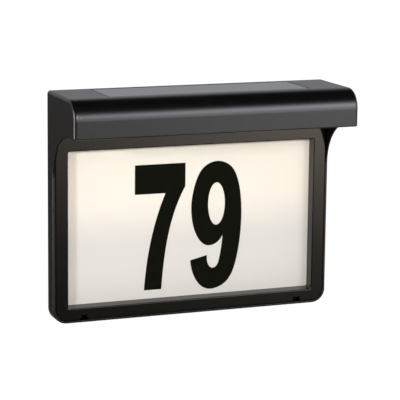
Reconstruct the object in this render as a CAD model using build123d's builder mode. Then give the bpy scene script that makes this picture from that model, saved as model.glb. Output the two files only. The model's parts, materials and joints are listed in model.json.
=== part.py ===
"""Wall-hung solar house number sign: a moulded housing with a deep hood, a lever-out front frame
round an opal number panel, and the solar panel, battery and lamps held in the hood.

Millimetres. X runs along the sign, +Y into the wall, so the front faces -Y, and +Z is up. The origin
is midway between the two wall screw holes, on the back face.
"""
import os
from math import radians, tan

from build123d import *

os.makedirs("parts", exist_ok=True)

# ------------------------------------------------------------------ driving sizes
sign_width = 260.0
sign_height = 203.5
hood_reach = 74.5          # wall to the front of the hood
hood_face = 32.5           # height of the hood's front, over its lower edge
hood_edge = 6.0            # the hood's lower edge, over the wall screw holes
hood_radius = 17.0         # the big curve from the top to the hood's front
body_depth = 14.5          # wall to the front edge of the lower body
hood_flat = 14.0           # straight front end of the cheeks' lower edge
cove_height = 41.5         # the quarter ellipse from the body's side to that flat
corner_radius = 12.5       # lower corners, seen from the front
hood_edge_radius = 2.8     # side edges of the hood
rim_radius = 1.0           # edges of the walls' open rim
wall = 2.0                 # side, bottom and hood walls
back_wall = 1.8
roof = 2.4
fit_gap = 0.3              # between pieces that lie in or on each other
running_gap = 0.15         # round pegs, plungers and screws
seat_gap = 0.2             # faces that press on each other

# wall fixing
wall_hole_spacing = 200.0
wall_hole_radius = 2.25
wall_hole_head_radius = 4.3
wall_boss_radius = 6.0
wall_boss_height = 2.6

# number window, panel and figures
window_side = 14.0         # the window's sides, from the outer faces of the side walls
window_foot = 12.9         # its lower edge, over the bottom edge
window_head = 19.4         # its upper edge, under the hood's edge
window_corner = 1.6
window_fall = 1.1          # the lower ledge falls by this towards the front
panel_recess = 10.2        # front of the frame to the front of the panel
panel_thickness = 1.5
panel_lap = 3.0            # how far the panel runs behind the frame's collar
rim_wall = 1.2             # rim on the back wall that locates the panel
rim_overlap = 0.9          # rim's height past the front of the panel
film_thickness = 0.3       # self-adhesive figures
figure_foot = 8.8          # over the window's lower edge
figure_head = 16.9         # under its upper edge
figure_gap = 5.0
figure_seam = -1.7         # middle of that gap, from the sign's middle
figure_units = 113         # the figures' outlines are drawn so many units high

# front frame
frame_plate = 2.4
frame_edge_radius = 0.9
collar_wall = 1.8
skirt_wall = 1.5
skirt_depth = 3.4
frame_rib = 1.2
frame_ribs_across = 7
frame_ribs_up = 4
notch_side = 28.4          # lever notches in the lower edge, from the outer faces of the side walls
notch_width = 7.0
notch_height = 4.4
notch_corner = 1.8
peg_radius = 1.8
peg_length = 9.0
socket_wall = 1.3
socket_room = 0.7          # sockets' ends to the frame's skirt
peg_edge = 5.8             # peg centre line from the outer face of the side walls
peg_foot = 5.4             # foot pegs, over the bottom edge
peg_low = 26.0             # lowest side pegs, over the bottom edge
peg_high = 25.0            # highest side pegs, under the hood's edge
foot_peg_spread = 116.0

# hood base, the plate that closes the hood from below
base_plate = 2.8
base_inset = 1.0           # its underside lies this far up inside the hood
base_seat = 1.2            # ledge outside the lip, where the seal lies
base_lip = 1.4
base_lip_height = 5.0
seal_cord = 1.6
seal_gap = 0.1
thread_gap = 0.05
base_screw_radius = 1.5
base_head_radius = 2.8
base_head = 1.2
base_screw_length = 11.0
boss_radius = 3.5
screw_side = 12.0          # corner screws, from the outer faces of the side walls
screw_back = 12.0          # rear screws, from the wall
screw_front = 15.5         # front corner screws, from the hood's front
screw_middle = 13.5        # front middle screw, from the hood's front

# solar panel in the hood's top
solar_length = 185.0
solar_back = 4.5           # wall to the back edge of the solar panel
solar_front = 4.0          # its front edge to the start of the hood's curve
solar_recess = 2.7
solar_board = 1.0
solar_glaze = 1.1
solar_tape = 0.5
solar_tape_width = 4.0
solar_cell_count = 10
solar_cell_gap = 1.0
solar_border = 2.5
solar_corner = 1.2
solar_cell_thickness = 0.3
tray_margin = 3.0
lead_slot_length = 10.0
lead_slot_width = 5.0

# lamps
lamp_count = 6
lamp_pitch = 30.0
lens_length = 190.0
lens_width = 12.0
lens_corner = 1.2
lens_flange = 2.0
lens_flange_thickness = 1.2
trough_height = 7.0
trough_wall = 1.2
trough_ear = 9.0
lamp_board_width = 10.0
lamp_board_thickness = 1.6
lamp_length = 3.5
lamp_width = 2.8
lamp_thickness = 0.8
lamp_window = 2.0
lamp_window_thickness = 0.1
small_screw_radius = 1.0
small_head_radius = 2.0
small_head = 1.0
small_screw_length = 6.0
small_boss_radius = 2.6

# battery bay
cell_radius = 9.15
cell_length = 65.0
cell_edge = 0.8
cell_nub_radius = 3.0
cell_nub = 1.2
bay_front = 18.5           # the line of bay, board and switch, from the hood's front
bay_wall = 1.5
bay_side_room = 0.8
contact_thickness = 0.5
contact_width = 12.0
contact_height = 14.0
leaf_reach = 5.5
door_flange = 1.6
door_corner = 1.8
door_margin = 3.0
door_end = 8.5
door_plug_wall = 1.2
door_plug_depth = 2.0
door_seal = 0.9
door_seal_height = 1.4
door_screw_inset = 3.6
door_boss_height = 6.0

# control board and switch
board_length = 58.0
board_width = 20.0
board_thickness = 1.6
board_corner = 1.5
board_post = 5.0
post_inset = 3.5
switch_length = 14.0
switch_width = 7.0
switch_height = 6.0
switch_travel = 4.0
knob_length = 4.0
knob_width = 3.0
knob_short = 0.3           # the knob stops this far inside the base's underside
pocket_depth = 1.2         # round the screw heads and the switch's knob
pocket_room = 6.0
knob_head = 1.5            # the knob's slider inside the switch
knob_shoulder = 1.0
pin_pitch = 2.5
pin_height = 2.5
pin_width = 0.8
pin_thickness = 0.5
connector_length = 6.0
connector_width = 4.5
connector_height = 5.0
connector_pitch = 10.5
connector_count = 4
connector_inset = 1.0      # from the board's rear edge
chip_length = 5.0
chip_width = 4.0
chip_height = 1.6
coil_radius = 3.0
coil_height = 3.5
capacitor_radius = 3.2
capacitor_height = 8.0

# leads
lead_radius = 0.65
lead_sides = 8             # the insulation is drawn as a prism
lead_pitch = 2.2
bend_share = 0.45          # of the shorter run, taken by a bend
lead_rise = 7.0            # runs over the plugs
lead_step = 9.0            # battery leads' straight start, out of the bay
lead_hole_radius = 1.2
lead_side = 4.0            # battery leads, behind the bay's centre line
lead_over_axis = 6.0       # and over the cell's axis
slot_step = 2.5            # solar leads' slot, from its plug towards the bay
lamp_lead_end = 12.0       # lamp leads' start, from the lamp board's end screw

# ------------------------------------------------------------------ levels and depths that follow
top = hood_edge + hood_face
bottom = top - sign_height
cove_depth = hood_reach - body_depth - hood_flat
half_width = sign_width / 2
inner_half = half_width - wall
base_bottom = hood_edge + base_inset
base_top = base_bottom + base_plate
panel_front = body_depth - panel_recess
panel_back = panel_front - panel_thickness
window_width = sign_width - 2 * window_side
window_low = bottom + window_foot
window_high = hood_edge - window_head
window_mid = (window_low + window_high) / 2
figure_height = window_high - window_low - figure_foot - figure_head
figure_scale = figure_height / figure_units
panel_half = window_width / 2 + panel_lap
panel_low = window_low - panel_lap
panel_high = window_high + panel_lap
panel_mid = (panel_low + panel_high) / 2
solar_floor = top - solar_recess
solar_depth = hood_reach - hood_radius - solar_back - solar_front
solar_mid = -(solar_back + solar_depth / 2)
tray_bottom = solar_floor - roof
frame_half = inner_half - fit_gap
frame_low = bottom + wall + fit_gap
frame_high = base_bottom - fit_gap
frame_back = body_depth - frame_plate
bay_half_x = (cell_length + cell_nub + leaf_reach) / 2 + contact_thickness + fit_gap
bay_half_y = cell_radius + bay_side_room
bay_floor = base_bottom + door_flange + door_plug_depth
cell_axis = bay_floor + fit_gap + cell_radius
bay_ceiling = cell_axis + cell_radius + fit_gap
bay_y = bay_front - hood_reach
bay_back = bay_y + bay_half_y + bay_wall
lens_top = base_top + lens_flange_thickness
trough_top = lens_top + trough_height
lamp_y = (bay_back - screw_back - boss_radius) / 2
trough_front = lamp_y - lens_width / 2 - lens_flange
ear_x = lens_length / 2 + lens_flange + trough_ear / 2
board_under = base_top + board_post
door_half_x = bay_half_x + door_end
door_half_y = bay_half_y + door_margin

# the front row inside the hood, from corner screw to corner screw, with equal gaps
screw_x = half_width - screw_side
row_end = screw_x - boss_radius
row_gap = 2 * (row_end - door_half_x - boss_radius - board_length / 2 - switch_length / 2) / 5
bay_centre_x = row_gap + door_half_x - row_end
middle_x = bay_centre_x + door_half_x + row_gap + boss_radius
board_centre_x = middle_x + boss_radius + row_gap + board_length / 2
switch_x = board_centre_x + board_length / 2 + row_gap + switch_length / 2
base_screw_places = [(-screw_x, -screw_back), (0, -screw_back), (screw_x, -screw_back),
                     (-screw_x, screw_front - hood_reach), (middle_x, screw_middle - hood_reach),
                     (screw_x, screw_front - hood_reach)]
connector_y = bay_y + board_width / 2 - connector_width / 2 - connector_inset
connectors = [(board_centre_x + (index - (connector_count - 1) / 2) * connector_pitch, connector_y)
              for index in range(connector_count)]
lead_slot_x = connectors[1][0] - slot_step

peg_x = half_width - peg_edge
side_pegs = [bottom + peg_low, (bottom + peg_low + hood_edge - peg_high) / 2, hood_edge - peg_high]
peg_places = [(s * peg_x, level) for s in (-1, 1) for level in side_pegs]
peg_places += [(s * foot_peg_spread / 2, bottom + peg_foot) for s in (-1, 1)]
wall_holes = [(-wall_hole_spacing / 2, 0.0), (wall_hole_spacing / 2, 0.0)]


def front_plane(depth):
    """The plane parallel to the wall, depth in front of it, facing the street."""
    return Plane.XZ.offset(depth)


def finish(builder, name):
    """Labels a finished piece and writes it."""
    builder.part.label = name
    export_step(builder.part, f"parts/{name}.step")


# ------------------------------------------------------------------ housing, one moulding
with BuildPart() as housing:
    with BuildSketch(Plane.YZ):
        with BuildLine():
            Polyline((-body_depth, hood_edge - cove_height), (-body_depth, bottom), (0, bottom), (0, top),
                     (hood_radius - hood_reach, top))
            TangentArc((hood_radius - hood_reach, top), (-hood_reach, top - hood_radius), tangent=(-1, 0))
            Polyline((-hood_reach, top - hood_radius), (-hood_reach, hood_edge),
                     (-body_depth - cove_depth, hood_edge))
            EllipticalCenterArc((-body_depth - cove_depth, hood_edge - cove_height), cove_depth, cove_height,
                                start_angle=0, arc_size=90)
        make_face()
    extrude(amount=half_width, both=True)
    fillet(housing.edges().filter_by(Axis.Y).group_by(Axis.Z)[0], corner_radius)
    sides = [housing.faces().sort_by(Axis.X)[0], housing.faces().sort_by(Axis.X)[-1]]
    upper = [e for f in sides for e in f.edges() if e.center().Z > hood_edge + 1 and e.center().Y < -1]
    fillet(upper, hood_edge_radius)
    rim = [e for e in housing.edges() if e.center().Y < -body_depth + 0.1 and e.center().Z < hood_edge + 0.1]
    lower = [e for e in rim if abs(abs(e.center().X) - half_width) < hood_edge_radius
             or e.center().Z < bottom + corner_radius or e.center().Y < -hood_reach + 0.1]
    fillet(lower, rim_radius)
    # the space for the frame and panel, open to the front between the cheeks
    with BuildSketch(front_plane(back_wall)) as hollow:
        with Locations((0, (bottom + wall + hood_edge) / 2)):
            Rectangle(2 * inner_half, hood_edge - bottom - wall)
        fillet(hollow.vertices().group_by(Axis.Y)[0], corner_radius - wall)
    extrude(amount=hood_reach, mode=Mode.SUBTRACT)
    # the space inside the hood, open below
    with BuildSketch(Plane.YZ):
        with BuildLine():
            Polyline((wall - hood_reach, top - hood_radius), (wall - hood_reach, hood_edge - 1),
                     (-back_wall, hood_edge - 1), (-back_wall, top - roof),
                     (hood_radius - hood_reach, top - roof))
            EllipticalCenterArc((hood_radius - hood_reach, top - hood_radius), hood_radius - wall,
                                hood_radius - roof, start_angle=90, arc_size=90)
        make_face()
    extrude(amount=inner_half, both=True, mode=Mode.SUBTRACT)
    # tray under the solar panel's recess, then the recess and its lead slot
    with BuildSketch(Plane.XY.offset(tray_bottom)):
        with Locations((0, solar_mid)):
            RectangleRounded(solar_length + 2 * tray_margin, solar_depth + 2 * tray_margin - 1, tray_margin)
    extrude(amount=top - roof - tray_bottom)
    with BuildSketch(Plane.XY.offset(solar_floor)):
        with Locations((0, solar_mid)):
            RectangleRounded(solar_length + 2 * fit_gap, solar_depth + 2 * fit_gap,
                             solar_corner + fit_gap)
    extrude(amount=solar_recess, mode=Mode.SUBTRACT)
    with BuildSketch(Plane.XY.offset(tray_bottom)):
        with Locations((lead_slot_x, solar_mid)):
            SlotOverall(lead_slot_length, lead_slot_width)
    extrude(amount=roof, mode=Mode.SUBTRACT)
    # screw bosses that carry the hood base
    with BuildSketch(Plane.XY.offset(base_top)):
        with Locations(*base_screw_places):
            Circle(boss_radius)
    extrude(amount=top - roof - base_top)
    with BuildSketch(Plane.XY.offset(base_top)):
        with Locations(*base_screw_places):
            Circle(base_screw_radius)
    extrude(amount=base_screw_length - base_plate + 1, mode=Mode.SUBTRACT)
    # rim that locates the panel, and low ribs that it lies on
    with BuildSketch(front_plane(back_wall)):
        with Locations((0, panel_mid)):
            Rectangle(2 * (panel_half + fit_gap + rim_wall),
                      panel_high - panel_low + 2 * (fit_gap + rim_wall))
            Rectangle(2 * (panel_half + fit_gap), panel_high - panel_low + 2 * fit_gap, mode=Mode.SUBTRACT)
    extrude(amount=panel_front + rim_overlap - back_wall)
    with BuildSketch(front_plane(back_wall)):
        with Locations((0, panel_mid)):
            with GridLocations(2 * panel_half / 4, 1, 5, 1):
                Rectangle(frame_rib, panel_high - panel_low + 2 * fit_gap)
            with GridLocations(1, (panel_high - panel_low) / 3, 1, 4):
                Rectangle(2 * (panel_half + fit_gap), frame_rib)
    extrude(amount=panel_back - back_wall)
    # sockets for the frame's pegs
    with BuildSketch(front_plane(back_wall)):
        with Locations(*peg_places):
            Circle(peg_radius + running_gap + socket_wall)
            Circle(peg_radius + running_gap, mode=Mode.SUBTRACT)
    extrude(amount=frame_back - skirt_depth - back_wall - socket_room)
    # wall screw bosses and their countersunk holes
    with BuildSketch(front_plane(back_wall)):
        with Locations(*wall_holes):
            Circle(wall_boss_radius)
    extrude(amount=wall_boss_height)
    with Locations(front_plane(back_wall + wall_boss_height)):
        with Locations(*wall_holes):
            CounterSinkHole(wall_hole_radius, wall_hole_head_radius, counter_sink_angle=90)
finish(housing, "housing")

# ------------------------------------------------------------------ front frame, levered out at its notches
with BuildPart() as front_frame:
    with BuildSketch(front_plane(frame_back)) as outline:
        with Locations((0, (frame_low + frame_high) / 2)):
            Rectangle(2 * frame_half, frame_high - frame_low)
        fillet(outline.vertices().group_by(Axis.Y)[0], corner_radius - wall - fit_gap)
    extrude(amount=frame_plate)
    with BuildSketch(front_plane(frame_back)) as skirt:
        add(outline.sketch_local.face())
        offset(amount=-skirt_wall, kind=Kind.INTERSECTION, mode=Mode.SUBTRACT)
    extrude(amount=-skirt_depth)
    # collar from the front down to the panel, open in the middle, its ledge falling to the front
    with BuildSketch(front_plane(panel_front + seat_gap)):
        with Locations((0, (window_low + window_fall + window_high) / 2)):
            RectangleRounded(window_width + 2 * collar_wall, window_high - window_low - window_fall
                             + 2 * collar_wall, window_corner + collar_wall)
    extrude(amount=frame_back - panel_front - seat_gap)
    with BuildSketch(front_plane(panel_front)):
        with Locations((0, (window_low + window_fall + window_high) / 2)):
            RectangleRounded(window_width, window_high - window_low - window_fall, window_corner)
    with BuildSketch(front_plane(body_depth)):
        with Locations((0, window_mid)):
            RectangleRounded(window_width, window_high - window_low, window_corner)
    loft(mode=Mode.SUBTRACT)
    street_face = front_frame.faces().sort_by(Axis.Y)[0]
    fillet(street_face.outer_wire().edges() + street_face.inner_wires()[0].edges(), frame_edge_radius)
    # stiffening ribs behind the bars, between skirt and collar
    with BuildSketch(front_plane(frame_back)):
        with Locations((0, window_mid)):
            with GridLocations(2 * frame_half / (frame_ribs_across + 1), 1, frame_ribs_across, 1):
                Rectangle(frame_rib, 2 * frame_half)
            with GridLocations(1, (window_high - window_low) / (frame_ribs_up + 1), 1, frame_ribs_up):
                Rectangle(2 * frame_half, frame_rib)
        add(outline.sketch_local.face(), mode=Mode.INTERSECT)
        with Locations((0, window_mid)):
            Rectangle(window_width + 2 * collar_wall, window_high - window_low + 2 * collar_wall,
                      mode=Mode.SUBTRACT)
    extrude(amount=-skirt_depth)
    with BuildSketch(front_plane(frame_back)):
        with Locations(*peg_places):
            Circle(peg_radius)
    extrude(amount=-peg_length)
    # notches where a blade goes in to lever the frame out
    with BuildSketch(front_plane(body_depth)) as notches:
        with Locations((0, frame_low)):
            with GridLocations(sign_width - 2 * notch_side, 1, 2, 1):
                Rectangle(notch_width, 2 * notch_height)
        fillet(notches.vertices().group_by(Axis.Y)[-1], notch_corner)
    extrude(amount=-frame_plate - skirt_depth, mode=Mode.SUBTRACT)
finish(front_frame, "front_frame")

# ------------------------------------------------------------------ opal panel and the self-adhesive figures
with BuildPart() as number_panel:
    with BuildSketch(front_plane(panel_back)):
        with Locations((0, panel_mid)):
            RectangleRounded(2 * panel_half, panel_high - panel_low, panel_lap)
    extrude(amount=panel_thickness)
finish(number_panel, "number_panel")



def figure_plane(left):
    """The panel's front, with its origin at a figure's left edge and foot."""
    return Plane((left, -panel_front, window_low + figure_foot), x_dir=(1, 0, 0), z_dir=(0, -1, 0))


def drawn(*points):
    """Points of a figure's outline, from units to millimetres."""
    return [(x * figure_scale, y * figure_scale) for x, y in points]


def drawn_arc(centre, radii, start, turn):
    """Part of an ellipse in a figure's outline, its centre and radii in units."""
    across, up = (radius * figure_scale for radius in radii)
    return EllipticalCenterArc(*drawn(centre), across, up, start_angle=start, arc_size=turn)


seven_width = 47.4 * figure_scale
with BuildPart() as digit_seven:
    with BuildSketch(figure_plane(figure_seam - figure_gap / 2 - seven_width)):
        with BuildLine():
            Polyline(drawn((47.4, 92), (47.4, 113), (0, 113), (0, 86.8), (28.8, 86.8)))
            Spline(drawn((28.8, 86.8), (18.7, 58.2), (12.7, 31.4), (9, 0)))
            Line(drawn((9, 0), (25.2, 0)))
            Spline(drawn((25.2, 0), (30.5, 43.8), (36.1, 66.1), (47.4, 92)))
        make_face()
    extrude(amount=film_thickness)
finish(digit_seven, "digit_seven")

with BuildPart() as digit_nine:
    with BuildSketch(figure_plane(figure_seam + figure_gap / 2)):
        with BuildLine():
            bowl = drawn_arc((18.3, 52.5), (14.3, 15.8), -24.6, -65.4)
            drawn_arc((18.3, 72), (17.3, 35.3), -90, -90)
            Spline(drawn((1, 72), (3.6, 90), (12.6, 107.8), (25.2, 113), (37.8, 108.6), (46.4, 92),
                         (49.3, 62), (44.6, 22), (34.6, 2), (20, -3.4)),
                   tangents=[(0, 1), (-1, 0)], tangent_scalars=(1, 1))
            tail = drawn_arc((20, 28), (19.7, 31.4), -90, -83)
            hook = drawn_arc((22.3, 25.5), (6, 9.7), 166, 164)
            Line(tail @ 1, hook @ 0)
            ThreePointArc(hook @ 1, *drawn((29.9, 32)), bowl @ 0)
        make_face()
        with Locations(drawn((25.1, 74.4))):
            Ellipse(8.2 * figure_scale, 19.3 * figure_scale, mode=Mode.SUBTRACT)
    extrude(amount=film_thickness)
finish(digit_nine, "digit_nine")

# ------------------------------------------------------------------ hood base with bay, posts and bosses
base_mid = -(back_wall + hood_reach - wall) / 2
base_length = 2 * (inner_half - fit_gap)
base_width = hood_reach - wall - back_wall - 2 * fit_gap
bay_centre = (bay_centre_x, bay_y)
door_screw_places = [(bay_centre_x + s * (door_half_x - door_screw_inset), bay_y) for s in (-1, 1)]
ear_places = [(-ear_x, lamp_y), (ear_x, lamp_y)]
post_dx = board_length / 2 - post_inset
post_dy = board_width / 2 - post_inset
posts = [(board_centre_x + sx * post_dx, bay_y + sy * post_dy) for sx in (-1, 1) for sy in (-1, 1)]
lead_level = cell_axis + lead_over_axis
knob_rest = switch_x + switch_travel / 2
switch_centre = (switch_x, bay_y)
slot_length = knob_length + switch_travel + 2 * fit_gap

with BuildPart() as hood_base:
    with BuildSketch(Plane.XY.offset(base_bottom)):
        with Locations((0, base_mid)):
            Rectangle(base_length, base_width)
    extrude(amount=base_plate)
    with BuildSketch(Plane.XY.offset(base_top)):
        with Locations((0, base_mid)):
            Rectangle(base_length - 2 * base_seat, base_width - 2 * base_seat)
            Rectangle(base_length - 2 * base_seat - 2 * base_lip, base_width - 2 * base_seat - 2 * base_lip,
                      mode=Mode.SUBTRACT)
    extrude(amount=base_lip_height)
    # battery bay, bosses and posts stand on the plate
    with BuildSketch(Plane.XY.offset(base_top)):
        with Locations(bay_centre):
            RectangleRounded(2 * (bay_half_x + bay_wall), 2 * (bay_half_y + bay_wall), bay_wall)
    extrude(amount=bay_ceiling + bay_wall - base_top)
    with BuildSketch(Plane.XY.offset(base_top)):
        with Locations(*door_screw_places):
            Circle(small_boss_radius)
    extrude(amount=door_boss_height)
    with BuildSketch(Plane.XY.offset(base_top)):
        with Locations(*ear_places):
            Circle(small_boss_radius)
    extrude(amount=trough_top - trough_wall - base_top)
    with BuildSketch(Plane.XY.offset(base_top)):
        with Locations(*posts):
            Circle(small_boss_radius)
    extrude(amount=board_post)
    # openings from below
    with BuildSketch(Plane.XY.offset(base_bottom)):
        with Locations(bay_centre):
            RectangleRounded(2 * (door_half_x + fit_gap), 2 * (door_half_y + fit_gap), door_corner + fit_gap)
    extrude(amount=door_flange, mode=Mode.SUBTRACT)
    with BuildSketch(Plane.XY.offset(base_bottom)):
        with Locations(bay_centre):
            Rectangle(2 * bay_half_x, 2 * bay_half_y)
    extrude(amount=bay_ceiling - base_bottom, mode=Mode.SUBTRACT)
    with BuildSketch(Plane.XY.offset(base_bottom)):
        with Locations((0, lamp_y)):
            RectangleRounded(lens_length + 2 * fit_gap, lens_width + 2 * fit_gap, lens_corner + fit_gap)
        with Locations(*base_screw_places):
            Circle(base_screw_radius + running_gap)
        with Locations(switch_centre):
            Rectangle(slot_length, knob_width + 2 * fit_gap)
    extrude(amount=base_plate, mode=Mode.SUBTRACT)
    with BuildSketch(Plane.XY.offset(base_bottom)):
        with Locations(*base_screw_places):
            Circle(base_head_radius + running_gap)
        with Locations(switch_centre):
            SlotOverall(slot_length + pocket_room, knob_width + pocket_room - 2)
    extrude(amount=pocket_depth, mode=Mode.SUBTRACT)
    # screw pilots
    with BuildSketch(Plane.XY.offset(base_bottom + door_flange)):
        with Locations(*door_screw_places):
            Circle(small_screw_radius + thread_gap)
    extrude(amount=small_screw_length, mode=Mode.SUBTRACT)
    with BuildSketch(Plane.XY.offset(trough_top - trough_wall)):
        with Locations(*ear_places):
            Circle(small_screw_radius + thread_gap)
    extrude(amount=-small_screw_length, mode=Mode.SUBTRACT)
    with BuildSketch(Plane.XY.offset(board_under)):
        with Locations(*posts):
            Circle(small_screw_radius + thread_gap)
    extrude(amount=-small_screw_length, mode=Mode.SUBTRACT)
    # lead holes through the bay's end walls
    for way in (-1, 1):
        outer_x = bay_centre_x + way * (bay_half_x + bay_wall)
        with Locations(Plane((outer_x, bay_y + lead_side, lead_level), x_dir=(0, 1, 0), z_dir=(way, 0, 0))):
            Hole(lead_hole_radius, depth=bay_wall)
finish(hood_base, "hood_base")

with BuildPart() as base_seal:
    with BuildSketch(Plane.XY.offset(base_top)):
        with Locations((0, base_mid)):
            Rectangle(base_length + 2 * (fit_gap - seal_gap), base_width + 2 * (fit_gap - seal_gap))
            Rectangle(base_length - 2 * base_seat, base_width - 2 * base_seat, mode=Mode.SUBTRACT)
    extrude(amount=seal_cord)
finish(base_seal, "base_seal")

with BuildPart() as base_screws:
    with BuildSketch(Plane.XY.offset(base_bottom + pocket_depth)):
        with Locations(*base_screw_places):
            Circle(base_head_radius)
    extrude(amount=-base_head)
    with BuildSketch(Plane.XY.offset(base_bottom + pocket_depth)):
        with Locations(*base_screw_places):
            Circle(base_screw_radius - thread_gap)
    extrude(amount=base_screw_length - pocket_depth)
finish(base_screws, "base_screws")

# ------------------------------------------------------------------ lamps: lens, trough, board and lamps
with BuildPart() as lamp_lens:
    with BuildSketch(Plane.XY.offset(base_bottom)):
        with Locations((0, lamp_y)):
            RectangleRounded(lens_length, lens_width, lens_corner)
    extrude(amount=base_plate)
    with BuildSketch(Plane.XY.offset(base_top)):
        with Locations((0, lamp_y)):
            Rectangle(lens_length + 2 * lens_flange, lens_width + 2 * lens_flange)
    extrude(amount=lens_flange_thickness)
finish(lamp_lens, "lamp_lens")

with BuildPart() as lamp_trough:
    with BuildSketch(Plane.XY.offset(lens_top)):
        with Locations((0, lamp_y)):
            Rectangle(lens_length + 2 * lens_flange, lens_width + 2 * lens_flange)
    extrude(amount=trough_height)
    with BuildSketch(Plane.XY.offset(trough_top - trough_wall)):
        with Locations((0, lamp_y)):
            Rectangle(lens_length + 2 * (lens_flange + trough_ear), lens_width + 2 * lens_flange)
    extrude(amount=trough_wall)
    with BuildSketch(Plane.XY.offset(lens_top)):
        with Locations((0, lamp_y)):
            Rectangle(lens_length + 1, lens_width + 1)
    with BuildSketch(Plane.XY.offset(trough_top - trough_wall)):
        with Locations((0, lamp_y)):
            Rectangle(lens_length - 2, lens_width / 2)
    loft(mode=Mode.SUBTRACT)
    with BuildSketch(Plane.XY.offset(trough_top)):
        with Locations((0, lamp_y)):
            with GridLocations(lamp_pitch, 1, lamp_count, 1):
                Rectangle(lamp_length + 2 * fit_gap, lamp_width + 2 * fit_gap)
        with Locations(*ear_places):
            Circle(small_screw_radius + running_gap)
    extrude(amount=-trough_wall, mode=Mode.SUBTRACT)
finish(lamp_trough, "lamp_trough")

with BuildPart() as lamp_board:
    with BuildSketch(Plane.XY.offset(trough_top)):
        with Locations((0, lamp_y)):
            RectangleRounded(lens_length + 2 * (lens_flange + trough_ear), lamp_board_width, board_corner)
        with Locations(*ear_places):
            Circle(small_screw_radius + running_gap, mode=Mode.SUBTRACT)
    extrude(amount=lamp_board_thickness)
finish(lamp_board, "lamp_board")

with BuildPart() as lamps:
    with BuildSketch(Plane.XY.offset(trough_top)):
        with Locations((0, lamp_y)):
            with GridLocations(lamp_pitch, 1, lamp_count, 1):
                Rectangle(lamp_length, lamp_width)
    extrude(amount=-lamp_thickness)
finish(lamps, "lamps")

with BuildPart() as lamp_windows:
    with BuildSketch(Plane.XY.offset(trough_top - lamp_thickness)):
        with Locations((0, lamp_y)):
            with GridLocations(lamp_pitch, 1, lamp_count, 1):
                Rectangle(lamp_window + 0.6, lamp_window)
    extrude(amount=-lamp_window_thickness)
finish(lamp_windows, "lamp_windows")


def small_screws(places, seat, way, name):
    """Small screws with their heads against the seat, their shanks running up (way 1) or down (way -1)."""
    with BuildPart() as screws:
        with BuildSketch(Plane.XY.offset(seat)):
            with Locations(*places):
                Circle(small_head_radius)
        extrude(amount=-way * small_head)
        with BuildSketch(Plane.XY.offset(seat)):
            with Locations(*places):
                Circle(small_screw_radius)
        extrude(amount=way * small_screw_length)
    finish(screws, name)


small_screws(ear_places, trough_top + lamp_board_thickness, -1, "lamp_screws")

# ------------------------------------------------------------------ battery, contacts and door
bay_left = bay_centre_x - bay_half_x
bay_right = bay_centre_x + bay_half_x
cell_start = bay_left + contact_thickness + leaf_reach + fit_gap

with BuildPart() as battery_cell:
    with BuildSketch(Plane((cell_start, bay_y, cell_axis), x_dir=(0, 1, 0), z_dir=(1, 0, 0))):
        Circle(cell_radius)
    extrude(amount=cell_length)
    chamfer(battery_cell.edges().filter_by(GeomType.CIRCLE), cell_edge)
    with BuildSketch(Plane((cell_start + cell_length, bay_y, cell_axis), x_dir=(0, 1, 0), z_dir=(1, 0, 0))):
        Circle(cell_nub_radius)
    extrude(amount=cell_nub)
finish(battery_cell, "battery_cell")

with BuildPart() as battery_contacts:
    for face_x, way in ((bay_left, 1), (bay_right, -1)):
        with BuildSketch(Plane((face_x, bay_y, cell_axis), x_dir=(0, 1, 0), z_dir=(way, 0, 0))):
            Rectangle(contact_width, contact_height)
        extrude(amount=contact_thickness)
    with BuildSketch(Plane.XZ.offset(-bay_y - contact_width / 4)) as leaf:
        with BuildLine():
            Polyline((bay_left + contact_thickness, cell_axis + contact_height * 0.4),
                     (bay_left + contact_thickness + leaf_reach, cell_axis),
                     (bay_left + contact_thickness, cell_axis - contact_height * 0.4), close=True)
        make_face()
        offset(amount=-contact_thickness, kind=Kind.INTERSECTION, mode=Mode.SUBTRACT)
    extrude(amount=contact_width / 2)
finish(battery_contacts, "battery_contacts")

with BuildPart() as battery_door:
    with BuildSketch(Plane.XY.offset(base_bottom)):
        with Locations(bay_centre):
            RectangleRounded(2 * door_half_x, 2 * door_half_y, door_corner)
    extrude(amount=door_flange)
    with BuildSketch(Plane.XY.offset(base_bottom + door_flange)):
        with Locations(bay_centre):
            Rectangle(2 * (bay_half_x - door_seal - seal_gap), 2 * (bay_half_y - door_seal - seal_gap))
            Rectangle(2 * (bay_half_x - door_seal - seal_gap - door_plug_wall),
                      2 * (bay_half_y - door_seal - seal_gap - door_plug_wall), mode=Mode.SUBTRACT)
            with GridLocations(2 * bay_half_x / 5, 1, 4, 1):
                Rectangle(door_plug_wall, 2 * (bay_half_y - door_seal - seal_gap - door_plug_wall))
    extrude(amount=door_plug_depth)
    with BuildSketch(Plane.XY.offset(base_bottom)):
        with Locations(*door_screw_places):
            Circle(small_screw_radius + running_gap)
    extrude(amount=door_flange, mode=Mode.SUBTRACT)
    with BuildSketch(Plane.XY.offset(base_bottom)):
        with Locations(*door_screw_places):
            Circle(small_head_radius + running_gap)
    extrude(amount=small_head, mode=Mode.SUBTRACT)
finish(battery_door, "battery_door")

with BuildPart() as battery_seal:
    with BuildSketch(Plane.XY.offset(base_bottom + door_flange)):
        with Locations(bay_centre):
            Rectangle(2 * (bay_half_x - seal_gap), 2 * (bay_half_y - seal_gap))
            Rectangle(2 * (bay_half_x - door_seal - seal_gap), 2 * (bay_half_y - door_seal - seal_gap),
                      mode=Mode.SUBTRACT)
    extrude(amount=door_seal_height)
finish(battery_seal, "battery_seal")

small_screws(door_screw_places, base_bottom + small_head, 1, "door_screws")

# ------------------------------------------------------------------ control board and switch
board_top = board_under + board_thickness
parts_y = bay_y - board_width / 5

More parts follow.
